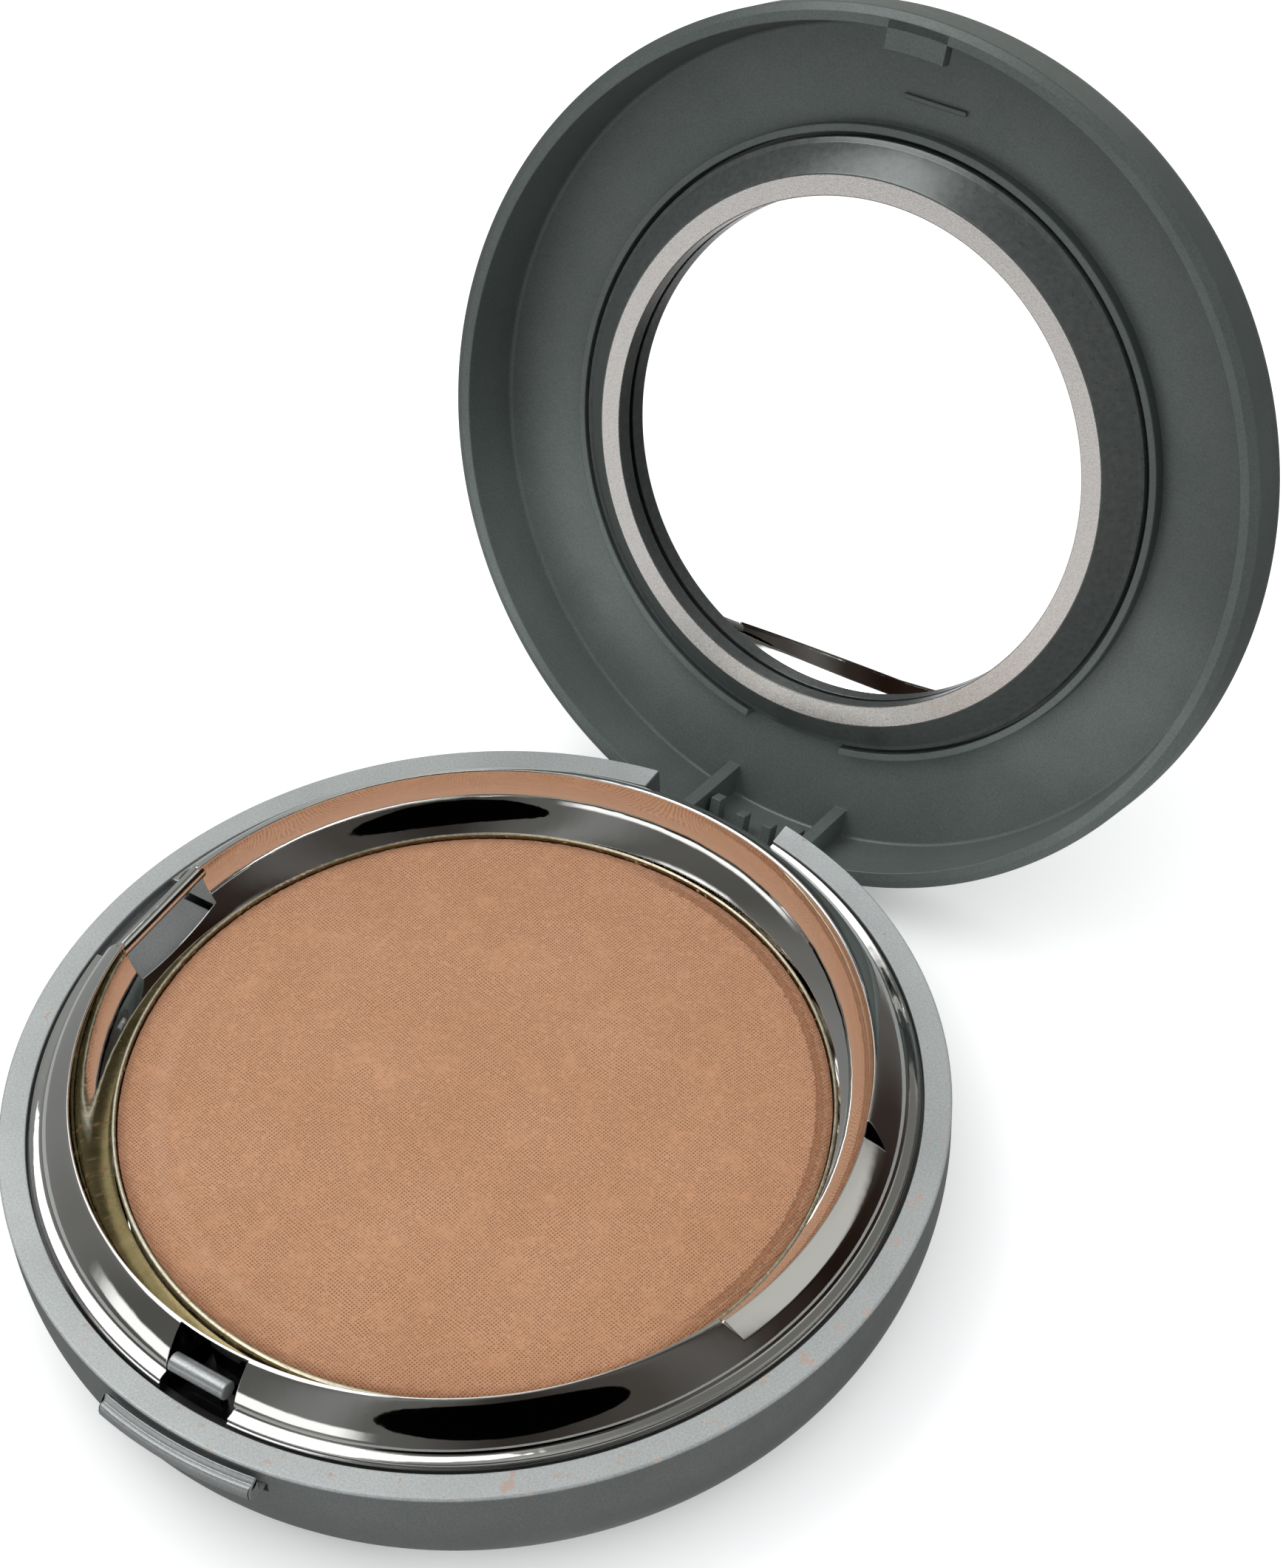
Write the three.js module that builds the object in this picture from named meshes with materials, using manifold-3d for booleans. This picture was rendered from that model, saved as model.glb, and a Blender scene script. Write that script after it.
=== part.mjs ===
// Round powder compact, standing open: base with a press-in front catch, a
// chromed tray that holds a metal pan of pressed powder, and a mirror lid on a
// hinge pin. Millimetres, +Z up. Origin at the centre of the flat underside,
// hinge towards +Y, push button towards -Y.
import * as THREE from "three";
import { mergeVertices } from "three/addons/utils/BufferGeometryUtils.js";
import Module from "manifold-3d";

// ---------------------------------------------------------------- dimensions
const CASE_R = 39.0; // outer radius of base and lid
const BASE_H = 13.1; // height of the base rim above the table
const RIM_R = 36.75; // inner edge of the base's flat rim
const FOOT_R = 32.6; // radius of the flat underside
const FLOOR_T = 1.6; // base floor thickness
const WALL_IN = 34.75; // inside radius of the base wall

const HINGE_Y = 36.76; // hinge axis
const HINGE_Z = BASE_H - 6.32;
const OPEN_DEG = 113; // lid angle from closed to the open stop
const PIN_R = 0.75;
const PIN_BORE_R = 0.8;
const PIN_HALF = 8.3;
const GAP_HALF = 6.65; // half width of the hinge gap in the base wall
const EAR_IN = 5.1;
const EAR_OUT = 6.3;

const CREST_R = 32.6; // inner edge of the chromed ring's crest
const CREST_H = 3.85; // crest height above the rim
const COVE_R = 6.14; // radius of the concave inner wall
const WELL_R = 30.42; // pan well radius
const TRAY_R = 36.45; // outer edge of the tray flange
const WELL_FLOOR = -5.8; // top of the well floor, below the rim
const WELL_FLOOR_T = 0.8;

const PAN_R = 29.8;
const PAN_H = 3.7;
const PAN_WALL = 0.4;
const PAN_RIM_Z = -1.07; // pan rim at its centre, below the base rim
const PAN_TILT_DEG = 1.85; // the pan sits slightly crooked in its well
const PAN_TILT_DIR_DEG = -150.8; // its raised side
const POWDER_R = 29.2;

const NOTCH = [-4.1, 2.5]; // front notch through the tray's outer side, in X
const CATCH_X = -1.0; // middle of the catch bar
const SCOOP_FROM = -19; // finger scoop on the right, degrees
const SCOOP_TO = 17.5;

const LID_TOP = 7.52; // lid height at its shoulder, above the parting line
const LID_CROWN = 7.95;
const LID_CEIL = 6.09;
const PART_GAP = 0.15; // clearance between lid rim and base rim when closed
const FRAME_R = 27.3;
const FRAME_TOP = 2.3; // face of the mirror frame above the parting line
const MIRROR_R = 23.9;

const BUTTON_HALF = 7.3;
const BUTTON_TRAVEL = 0.4;

const SEG = 64; // steps round the large turned shapes

// ---------------------------------------------------------------- helpers
const wasm = await Module();
wasm.setup();

function solid(geometry, matrix) {
  const g = geometry.clone();
  if (matrix) g.applyMatrix4(matrix);
  g.deleteAttribute("normal");
  g.deleteAttribute("uv");
  const m = mergeVertices(g, 1e-4);
  const made = new wasm.Manifold(
    new wasm.Mesh({
      numProp: 3,
      vertProperties: new Float32Array(m.attributes.position.array),
      triVerts: new Uint32Array(m.index.array),
    }),
  );
  return made;
}

function geometryOf(manifold) {
  const m = manifold.getMesh();
  const n = m.numProp;
  const p = new Float32Array(m.numVert * 3);
  for (let i = 0; i < m.numVert; i++)
    for (let k = 0; k < 3; k++) p[3 * i + k] = m.vertProperties[n * i + k];
  const g = new THREE.BufferGeometry()
    .setAttribute("position", new THREE.BufferAttribute(p, 3))
    .setIndex(new THREE.BufferAttribute(new Uint32Array(m.triVerts), 1));
  g.computeVertexNormals();
  return g;
}

// Turned solid about Z from [radius, height] points in millimetres. The
// profile starts and ends on the axis, or closes on itself, counterclockwise.
function turned(points, segments = SEG) {
  const g = new THREE.LatheGeometry(
    points.map(([r, z]) => new THREE.Vector2(r, z)),
    segments,
  );
  g.rotateX(Math.PI / 2);
  const s = solid(g);
  if (s.volume() < 0) throw new Error("profile runs the wrong way");
  return s;
}
const ringOf = (points, segments) => turned([...points, points[0]], segments);

function box(x0, x1, y0, y1, z0, z1) {
  const g = new THREE.BoxGeometry(x1 - x0, y1 - y0, z1 - z0);
  return solid(
    g,
    new THREE.Matrix4().makeTranslation(
      (x0 + x1) / 2,
      (y0 + y1) / 2,
      (z0 + z1) / 2,
    ),
  );
}

// Cylinder along X, Y or Z.
function rod(axis, r, from, to, a, b, segments = 24) {
  const g = new THREE.CylinderGeometry(r, r, to - from, segments);
  const m = new THREE.Matrix4();
  const mid = (from + to) / 2;
  if (axis === "x") {
    g.rotateZ(-Math.PI / 2);
    m.makeTranslation(mid, a, b);
  } else if (axis === "y") {
    m.makeTranslation(a, mid, b);
  } else {
    g.rotateX(Math.PI / 2);
    m.makeTranslation(a, b, mid);
  }
  return solid(g, m);
}

// Plate of a [y, z] outline between two x positions.
function plateX(outline, x0, x1) {
  const shape = new THREE.Shape(
    outline.map(([y, z]) => new THREE.Vector2(y, z)),
  );
  const g = new THREE.ExtrudeGeometry(shape, {
    depth: x1 - x0,
    bevelEnabled: false,
  });
  // extrusion runs along +Z: turn it to +X with the outline in Y and Z
  const m = new THREE.Matrix4().set(0, 0, 1, x0, 1, 0, 0, 0, 0, 1, 0, 0, 0, 0, 0, 1);
  return solid(g, m);
}

// Prism of an [x, y] outline between two heights.
function prismZ(outline, z0, z1) {
  const shape = new THREE.Shape(
    outline.map(([x, y]) => new THREE.Vector2(x, y)),
  );
  const g = new THREE.ExtrudeGeometry(shape, {
    depth: z1 - z0,
    bevelEnabled: false,
  });
  return solid(g, new THREE.Matrix4().makeTranslation(0, 0, z0));
}

// Rounded rectangle plate, half sizes a and b, corner radius r, centre (x, y).
function roundedPlate(a, b, r, x, y, z0, z1) {
  const pts = [];
  for (const [sx, sy, from] of [
    [1, 1, 0],
    [-1, 1, 90],
    [-1, -1, 180],
    [1, -1, 270],
  ])
    for (let i = 0; i <= 4; i++) {
      const t = ((from + (90 * i) / 4) * Math.PI) / 180;
      pts.push([
        x + sx * (a - r) + r * Math.cos(t),
        y + sy * (b - r) + r * Math.sin(t),
      ]);
    }
  return prismZ(pts, z0, z1);
}

function sector(fromDeg, toDeg, r, z0, z1) {
  const pts = [[0, 0]];
  const n = 8;
  for (let i = 0; i <= n; i++) {
    const a = ((fromDeg + ((toDeg - fromDeg) * i) / n) * Math.PI) / 180;
    pts.push([r * Math.cos(a), r * Math.sin(a)]);
  }
  return prismZ(pts, z0, z1);
}

const union = (first, ...rest) => rest.reduce((a, b) => a.add(b), first);
const minus = (first, ...rest) => rest.reduce((a, b) => a.subtract(b), first);

const compact = new THREE.Group();
function piece(parent, name, manifold, color, roughness, metalness) {
  const mesh = new THREE.Mesh(
    geometryOf(manifold),
    new THREE.MeshStandardMaterial({ color, roughness, metalness }),
  );
  mesh.name = name;
  parent.add(mesh);
  return mesh;
}

// ---------------------------------------------------------------- base
// Outer wall: flat foot, a long elliptical lower edge, then a short upright.
const H = BASE_H;
const outerWall = [[0, 0], [FOOT_R, 0]];
{
  const a = CASE_R - FOOT_R;
  const b = 10.4;
  for (let i = 1; i <= 9; i++) {
    const t = (i / 9) * (Math.PI / 2);
    outerWall.push([FOOT_R + a * Math.sin(t), b - b * Math.cos(t)]);
  }
}
let base = turned([
  ...outerWall,
  [CASE_R, H - 0.25],
  [CASE_R - 0.25, H],
  [RIM_R, H],
  [RIM_R, H - 0.95],
  [WALL_IN, H - 0.95],
  [WALL_IN, 3.6],
  [WALL_IN - 0.6, 2.3],
  [WALL_IN - 2.4, FLOOR_T],
  [0, FLOOR_T],
]);

// Underside recess for the label, in front of the centre.
base = base.subtract(roundedPlate(15, 7, 2.2, 0, -15, -1, 0.4));

// Bosses that carry the hinge pin either side of the gap.
for (const s of [-1, 1]) {
  const x0 = s < 0 ? -9.4 : GAP_HALF;
  const x1 = s < 0 ? -GAP_HALF : 9.4;
  base = base.add(
    box(x0, x1, 33.9, 36.2, FLOOR_T - 0.3, H - 1.0).intersect(
      turned([...outerWall.slice(0, -1), [CASE_R - 0.2, 10.4], [CASE_R - 0.2, H], [0, H]]),
    ),
  );
}
// Front guide posts and the spring's rear stop.
base = union(
  base,
  box(-1.9, 1.9, -25.6, -24.2, FLOOR_T - 0.3, 5.9),
  box(-9.2, -8.0, -33.9, -30.5, FLOOR_T - 0.3, 5.9),
  box(8.0, 9.2, -33.9, -30.5, FLOOR_T - 0.3, 5.9),
);
// Ledge seen through the window on the left of the tray.
base = base.add(
  box(-35.2, -31.35, -4.55, 4.95, H - 3.0, H - 0.95),
);
// Support posts under the tray floor.
for (const deg of [45, 135, 225, 315]) {
  const a = (deg * Math.PI) / 180;
  base = base.add(
    rod("z", 1.5, FLOOR_T - 0.3, H + WELL_FLOOR - WELL_FLOOR_T - 0.3, 22 * Math.cos(a), 22 * Math.sin(a), 20),
  );
}
// Hinge gap, pin bore, and the button window.
base = minus(
  base,
  box(-GAP_HALF, GAP_HALF, 33.2, 40, 3.3, H + 1),
  rod("x", PIN_BORE_R, -PIN_HALF - 0.15, PIN_HALF + 0.15, HINGE_Y, HINGE_Z, 24),
  box(-BUTTON_HALF - 0.3, BUTTON_HALF + 0.3, -42, -33.0, H - 2.65, H - 1.5),
  turned([[0, H - 5.6], [35.75, H - 5.6], [35.75, H - 0.9], [0, H - 0.9]]).intersect(
    box(-BUTTON_HALF - 0.3, BUTTON_HALF + 0.3, -42, -33.0, H - 6, H),
  ),
);
piece(compact, "base_shell", base, 0x8d9596, 0.48, 0.15);

piece(
  compact,
  "hinge_pin",
  rod("x", PIN_R, -PIN_HALF, PIN_HALF, HINGE_Y, HINGE_Z, 24),
  0xb9bbbc,
  0.3,
  1,
);
piece(
  compact,
  "base_label",
  roundedPlate(14.75, 6.75, 2, 0, -15, 0.08, 0.33),
  0xe9e7e1,
  0.6,
  0,
);

// ---------------------------------------------------------------- tray
// Chromed tray: flange on the rim, convex ring up to the crest, concave wall
// down to the pan's well.
const cove = [];
for (let i = 1; i <= 7; i++) {
  const e = ((i / 7) * 50 * Math.PI) / 180;
  cove.push([CREST_R - COVE_R * (1 - Math.cos(e)), H + 3.7 - COVE_R * Math.sin(e)]);
}
let tray = turned([
  [0, H + WELL_FLOOR - WELL_FLOOR_T],
  [31.2, H + WELL_FLOOR - WELL_FLOOR_T],
  [31.2, H - 2.2],
  [33.0, H - 0.6],
  [TRAY_R, H - 0.6],
  [TRAY_R, H - 0.02],
  [36.28, H + 0.08],
  [36.22, H + 0.36],
  [35.5, H + 0.44],
  [35.42, H + 0.6],
  [35.3, H + 1.2],
  [35.02, H + 1.95],
  [34.62, H + 2.6],
  [34.12, H + 3.12],
  [33.55, H + 3.5],
  [33.0, H + 3.75],
  [CREST_R + 0.12, H + CREST_H],
  [CREST_R, H + 3.78],
  ...cove,
  [WELL_R, H - 1.15],
  [WELL_R, H + WELL_FLOOR],
  [0, H + WELL_FLOOR],
]);

// Front notch for the catch.
tray = tray.subtract(
  ringOf([
    [32.85, H - 8],
    [42, H - 8],
    [42, H + 6],
    [32.85, H + 6],
  ]).intersect(box(NOTCH[0], NOTCH[1], -42, -30, H - 9, H + 7)),
);
// Window on the left with a bar across its top.
tray = tray.subtract(
  box(-40, -31.05, -4.9, 5.3, H - 3.4, H + 6),
);
tray = tray.add(rod("y", 0.66, -5.3, 5.7, -32.55, H + 3.05, 20));
// Relief in the flange behind the crest for the lid's hinge block.
tray = tray.subtract(
  box(-7.0, 7.0, 34.25, 40, H - 2, H + 6),
);
// Finger scoop on the right.
const scoop = ringOf(
  [
    [31.0, H + 3.25],
    [32.0, H + 3.1],
    [32.55, H + 2.95],
    [33.4, H + 2.68],
    [34.1, H + 2.42],
    [34.7, H + 2.13],
    [35.5, H + 1.7],
    [36.2, H + 6],
    [31.0, H + 6],
  ],
  SEG,
).intersect(sector(SCOOP_FROM, SCOOP_TO, 44, H - 1, H + 7));
tray = tray.subtract(scoop);
piece(compact, "pan_tray", tray, 0xd6d6d2, 0.08, 1);

// ---------------------------------------------------------------- pan
const tilt = new THREE.Group();
{
  const a = (PAN_TILT_DIR_DEG * Math.PI) / 180;
  // turn about the horizontal axis square to the raised direction
  const axis = new THREE.Vector3(Math.sin(a), -Math.cos(a), 0);
  tilt.quaternion.setFromAxisAngle(axis, (PAN_TILT_DEG * Math.PI) / 180);
  tilt.position.set(0, 0, H + PAN_RIM_Z);
}
compact.add(tilt);
piece(
  tilt,
  "pan",
  turned([
    [0, -PAN_H],
    [PAN_R - 0.7, -PAN_H],
    [PAN_R - 0.2, -PAN_H + 0.5],
    [PAN_R, -0.9],
    [PAN_R, -0.15],
    [PAN_R - 0.12, 0],
    [PAN_R - PAN_WALL + 0.1, 0],
    [PAN_R - PAN_WALL, -0.12],
    [PAN_R - PAN_WALL - 0.1, -PAN_H + PAN_WALL + 0.3],
    [PAN_R - PAN_WALL - 0.4, -PAN_H + PAN_WALL],
    [0, -PAN_H + PAN_WALL],
  ]),
  0xb8a26a,
  0.35,
  0.9,
);
piece(
  tilt,
  "powder_cake",
  turned([
    [0, -PAN_H + PAN_WALL + 0.06],
    [POWDER_R - 0.7, -PAN_H + PAN_WALL + 0.06],
    [POWDER_R - 0.15, -PAN_H + PAN_WALL + 0.7],
    [POWDER_R, -0.75],
    [POWDER_R - 0.35, -0.35],
    [POWDER_R - 1.2, -0.22],
    [0, -0.16],
  ]),
  0xc8946f,
  0.95,
  0,
);
// Adhesive pad between the well floor and the pan.
piece(
  compact,
  "pan_adhesive_pad",
  rod("z", 9.0, H + WELL_FLOOR + 0.05, H + PAN_RIM_Z - PAN_H - 0.36, 0, 0, 40),
  0xdedbd2,
  0.8,
  0,
);

// ---------------------------------------------------------------- button
// Push button: thumb lip outside, stem through the window, catch in the notch.
const lip = ringOf([
  [38.9, H - 2.4],
  [39.8, H - 2.35],
  [40.3, H - 2.1],
  [40.6, H - 1.75],
  [40.62, H - 1.2],
  [40.5, H - 0.85],
  [40.3, H - 0.7],
  [40.1, H - 0.7],
  [39.93, H - 0.74],
  [39.78, H - 0.56],
  [39.64, H - 0.34],
  [39.5, H - 0.22],
  [39.45, H - 0.5],
  [39.45, H - 1.75],
  [38.9, H - 1.75],
], 144).intersect(box(-BUTTON_HALF, BUTTON_HALF, -42, -30, 0, H + 2));
const stem = ringOf([
  [34.9, H - 2.35],
  [39.3, H - 2.35],
  [39.3, H - 1.75],
  [34.9, H - 1.75],
], 144).intersect(box(-BUTTON_HALF, BUTTON_HALF, -42, -30, 0, H + 2));
let button = union(
  lip,
  stem,
  // plate to the catch post, and the catch bar in the notch
  box(-3.4, 3.4, -35.4, -33.1, H - 2.35, H - 1.75),
  box(CATCH_X - 1.5, CATCH_X + 1.5, -34.6, -33.9, H - 2.0, H + 1.5),
  rod("x", 0.8, CATCH_X - 2.66, CATCH_X + 2.66, -34.65, H + 1.5, 20),
  // tongue that the spring pushes on
  box(-2.4, 2.4, -34.3, -33.1, 3.0, H - 2.0),
  box(-2.4, 2.4, -34.3, -31.0, 3.0, 5.4),
);
piece(compact, "push_button", button, 0x9aa0a0, 0.4, 0.25);

// Coil spring behind the button.
{
  const turns = 5.5;
  const y0 = -30.6;
  const y1 = -26.0;
  const pts = [];
  const n = Math.round(turns * 12);
  for (let i = 0; i <= n; i++) {
    const t = (i / n) * turns * 2 * Math.PI;
    pts.push(
      new THREE.Vector3(
        1.15 * Math.cos(t),
        y0 + ((y1 - y0) * i) / n,
        4.1 + 1.15 * Math.sin(t),
      ),
    );
  }
  const section = new THREE.Shape();
  for (let i = 0; i < 6; i++) {
    const a = (i / 6) * 2 * Math.PI;
    const p = [0.18 * Math.cos(a), 0.18 * Math.sin(a)];
    if (i) section.lineTo(...p);
    else section.moveTo(...p);
  }
  section.closePath();
  const g = new THREE.ExtrudeGeometry(section, {
    steps: n,
    bevelEnabled: false,
    extrudePath: new THREE.CatmullRomCurve3(pts),
  });
  let s = solid(g);
  piece(compact, "button_spring", s, 0xb0b2b4, 0.3, 1);
}

// ---------------------------------------------------------------- lid
// Built closed, with heights above the parting line, then swung open about
// the hinge axis.
const lid = new THREE.Group();
lid.position.set(0, HINGE_Y, HINGE_Z);
lid.rotation.x = (-OPEN_DEG * Math.PI) / 180;
compact.add(lid);
const closed = new THREE.Group();
closed.position.set(0, -HINGE_Y, -HINGE_Z + H);
lid.add(closed);

const shoulder = [];
for (let i = 0; i <= 6; i++) {
  const t = (i / 6) * (Math.PI / 2);
  shoulder.push([36 + 3 * Math.cos(t), 4.52 + 3 * Math.sin(t)]);
}
let shell = turned([
  [0, LID_CEIL],
  [35.8, LID_CEIL],
  [36.55, 5.85],
  [36.85, 5.2],
  [37.42, PART_GAP],
  [38.2, PART_GAP],
  [CASE_R, PART_GAP + 0.45],
  ...shoulder,
  [26, LID_TOP + 0.22],
  [13, LID_CROWN - 0.1],
  [0, LID_CROWN],
]);
// Rib round the mirror frame, open towards the hinge.
shell = shell.add(
  minus(
    ringOf([
      [27.7, 4.65],
      [28.35, 4.65],
      [28.4, LID_CEIL + 0.3],
      [27.65, LID_CEIL + 0.3],
    ]),
    sector(80, 100, 40, 4, 7),
  ),
);
// Latch tab at the front, a short floor rib behind it.
const tab = ringOf([
  [35.7, PART_GAP],
  [38.2, PART_GAP],
  [38.2, 1.35],
  [35.7, 1.35],
], 144).intersect(box(-3.1, 2.45, -40, -30, 0, 3));
shell = union(
  shell,
  tab,
  box(-3.0, 3.0, -31.2, -30.8, LID_CEIL - 0.35, LID_CEIL + 0.3),
);
// Hinge ears: plates from the lid floor down to the hinge knuckles.
const dz = HINGE_Z - H; // hinge height in the lid's own heights
const knuckle = [];
for (let i = 0; i <= 14; i++) {
  const a = ((-180 + (180 * i) / 14) * Math.PI) / 180;
  knuckle.push([HINGE_Y + 1.75 * Math.cos(a), dz + 1.75 * Math.sin(a)]);
}
const earOutline = [
  ...knuckle,
  [38.0, -1.2],
  [38.0, 3.0],
  [37.0, LID_CEIL + 0.4],
  [33.6, LID_CEIL + 0.4],
  [33.6, LID_CEIL],
  [34.65, 0.4],
  [35.0, -2.0],
];
for (const [x0, x1] of [
  [-EAR_OUT, -EAR_IN],
  [EAR_IN, EAR_OUT],
])
  shell = shell.add(plateX(earOutline, x0, x1));
// Leaf that closes the gap in the base wall, between the ears.
const leaf = ringOf(
  [
    [37.35, dz - 0.2],
    [38.3, dz - 0.2],
    [38.75, dz + 1.2],
    [38.85, 0.6],
    [37.35, 0.6],
  ],
  192,
).intersect(box(-EAR_OUT, EAR_OUT, 30, 42, -10, 3));
shell = shell.add(leaf);
// Small ribs on the lid wall between the ears.
for (const x of [-4.15, -1.4, 1.4, 4.15])
  shell = shell.add(
    box(x - 0.5, x + 0.5, Math.abs(x) > 2 ? 34.75 : 35.3, 37.9, 0.35, 1.7),
  );
shell = shell.subtract(
  rod("x", PIN_BORE_R, -10, 10, HINGE_Y, dz, 24),
);
piece(closed, "lid_shell", shell, 0x4b5250, 0.5, 0.15);

// Mirror frame: cone up to a satin face round the glass.
piece(
  closed,
  "mirror_frame",
  ringOf([
    [24.2, 5.75],
    [24.2, 4.3],
    [22.6, 4.1],
    [22.6, FRAME_TOP + 0.1],
    [22.7, FRAME_TOP],
    [24.4, FRAME_TOP],
    [24.55, FRAME_TOP + 0.12],
    [26.9, 4.45],
    [FRAME_R, 4.65],
    [FRAME_R, 5.75],
  ]),
  0xc9c6c0,
  0.2,
  1,
);
piece(
  closed,
  "mirror_glass",
  turned([
    [0, 4.4],
    [MIRROR_R - 0.15, 4.4],
    [MIRROR_R, 4.55],
    [MIRROR_R, 5.6],
    [0, 5.6],
  ]),
  0xe8eef0,
  0.02,
  1,
);
piece(
  closed,
  "mirror_tape",
  rod("z", 20.5, 5.66, 6.03, 0, 0, 48),
  0xd8d5cc,
  0.8,
  0,
);

export default compact;
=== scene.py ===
"""Round powder compact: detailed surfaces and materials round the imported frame."""

import math

import bmesh
import bpy
from mathutils import Matrix, Vector


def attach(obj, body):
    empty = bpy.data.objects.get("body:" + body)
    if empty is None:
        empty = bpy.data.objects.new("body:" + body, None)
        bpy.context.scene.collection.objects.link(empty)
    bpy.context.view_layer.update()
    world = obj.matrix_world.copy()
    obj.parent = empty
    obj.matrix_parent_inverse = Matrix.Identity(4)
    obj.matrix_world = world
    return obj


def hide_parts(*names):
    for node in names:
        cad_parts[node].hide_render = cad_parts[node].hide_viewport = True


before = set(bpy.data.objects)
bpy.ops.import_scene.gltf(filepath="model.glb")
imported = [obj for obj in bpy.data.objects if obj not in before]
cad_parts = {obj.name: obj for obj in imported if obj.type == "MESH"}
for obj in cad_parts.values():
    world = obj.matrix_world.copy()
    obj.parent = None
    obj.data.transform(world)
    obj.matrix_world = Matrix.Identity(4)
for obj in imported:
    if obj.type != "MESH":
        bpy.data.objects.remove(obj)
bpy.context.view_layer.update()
MM = 0.001
sc = bpy.context.scene

# ------------------------------------------------------------------ geometry
H = 13.1  # base rim height
HY, HZ = 36.76, -6.32  # hinge axis in rim-relative millimetres
OPEN = math.radians(113)
LID = (
    Matrix.Translation((0, HY, H + HZ))
    @ Matrix.Rotation(-OPEN, 4, "X")
    @ Matrix.Translation((0, -HY, -HZ))
)
BASE = Matrix.Translation((0, 0, H))


def fillets(points, steps=5):
    """[(r, z)] or [(r, z, radius)] -> polyline with rounded corners."""
    out = []
    n = len(points)
    for i, p in enumerate(points):
        rad = p[2] if len(p) > 2 else 0
        if rad <= 0 or i == 0 or i == n - 1:
            out.append((p[0], p[1]))
            continue
        a = Vector(points[i - 1][:2])
        b = Vector(p[:2])
        c = Vector(points[i + 1][:2])
        u, v = (a - b).normalized(), (c - b).normalized()
        ang = math.acos(max(-1, min(1, u.dot(v))))
        if ang > math.pi - 0.02:
            out.append((b.x, b.y))
            continue
        t = min(rad / math.tan(ang / 2), 0.49 * (a - b).length, 0.49 * (c - b).length)
        rr = t * math.tan(ang / 2)
        mid = (u + v).normalized()
        o = b + mid * (rr / math.sin(ang / 2))
        s = b + u * t - o
        e = b + v * t - o
        a0, a1 = math.atan2(s.y, s.x), math.atan2(e.y, e.x)
        d = (a1 - a0 + math.pi) % (2 * math.pi) - math.pi
        for k in range(steps + 1):
            w = a0 + d * k / steps
            out.append((o.x + rr * math.cos(w), o.y + rr * math.sin(w)))
    return out


def densify(prof, most):
    out = [prof[0]]
    for a, b in zip(prof, prof[1:]):
        d = math.dist(a, b)
        k = max(1, int(math.ceil(d / most)))
        for i in range(1, k + 1):
            out.append((a[0] + (b[0] - a[0]) * i / k, a[1] + (b[1] - a[1]) * i / k))
    return out


def new_object(name, bm, smooth=True):
    bmesh.ops.recalc_face_normals(bm, faces=bm.faces[:])
    me = bpy.data.meshes.new(name)
    bm.to_mesh(me)
    bm.free()
    o = bpy.data.objects.new(name, me)
    sc.collection.objects.link(o)
    if smooth:
        for p in me.polygons:
            p.use_smooth = True
    return o


def lathe(name, prof, segs=384, closed=False, start=0.0):
    """Turned surface of an (r, z) profile in millimetres, in row millimetres."""
    bm = bmesh.new()
    rings = []
    for r, z in prof:
        if r < 1e-6:
            rings.append([bm.verts.new((0, 0, z))])
        else:
            rings.append(
                [
                    bm.verts.new(
                        (
                            r * math.cos(start + 2 * math.pi * k / segs),
                            r * math.sin(start + 2 * math.pi * k / segs),
                            z,
                        )
                    )
                    for k in range(segs)
                ]
            )
    pairs = list(zip(rings, rings[1:]))
    if closed:
        pairs.append((rings[-1], rings[0]))
    for a, b in pairs:
        for k in range(segs):
            j = (k + 1) % segs
            if len(a) == 1 and len(b) == 1:
                continue
            if len(a) == 1:
                bm.faces.new((a[0], b[k], b[j]))
            elif len(b) == 1:
                bm.faces.new((a[k], b[0], a[j]))
            else:
                bm.faces.new((a[k], b[k], b[j], a[j]))
    return new_object(name, bm)


def box(name, x0, x1, y0, y1, z0, z1, bevel=0.0, segs=3):
    bm = bmesh.new()
    bmesh.ops.create_cube(bm, size=1)
    for v in bm.verts:
        v.co = Vector(
            (
                (x0 + x1) / 2 + v.co.x * (x1 - x0),
                (y0 + y1) / 2 + v.co.y * (y1 - y0),
                (z0 + z1) / 2 + v.co.z * (z1 - z0),
            )
        )
    if bevel:
        bmesh.ops.bevel(
            bm, geom=bm.edges[:], offset=bevel, segments=segs, profile=0.5, affect="EDGES"
        )
    return new_object(name, bm)


def prism(name, outline, depth0, depth1, axis="x", bevel=0.0):
    """Extrudes an outline: (y, z) along x, or (x, y) along z."""
    bm = bmesh.new()

    def at(p, d):
        return (d, p[0], p[1]) if axis == "x" else (p[0], p[1], d)

    lo = [bm.verts.new(at(p, depth0)) for p in outline]
    hi = [bm.verts.new(at(p, depth1)) for p in outline]
    bm.faces.new(lo)
    bm.faces.new(hi[::-1])
    n = len(outline)
    for i in range(n):
        j = (i + 1) % n
        bm.faces.new((lo[i], lo[j], hi[j], hi[i]))
    bmesh.ops.recalc_face_normals(bm, faces=bm.faces[:])
    if bevel:
        es = [e for e in bm.edges if e.calc_face_angle(0) > math.radians(25)]
        bmesh.ops.bevel(
            bm, geom=es, offset=bevel, segments=2, profile=0.5, affect="EDGES"
        )
    return new_object(name, bm)


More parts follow.
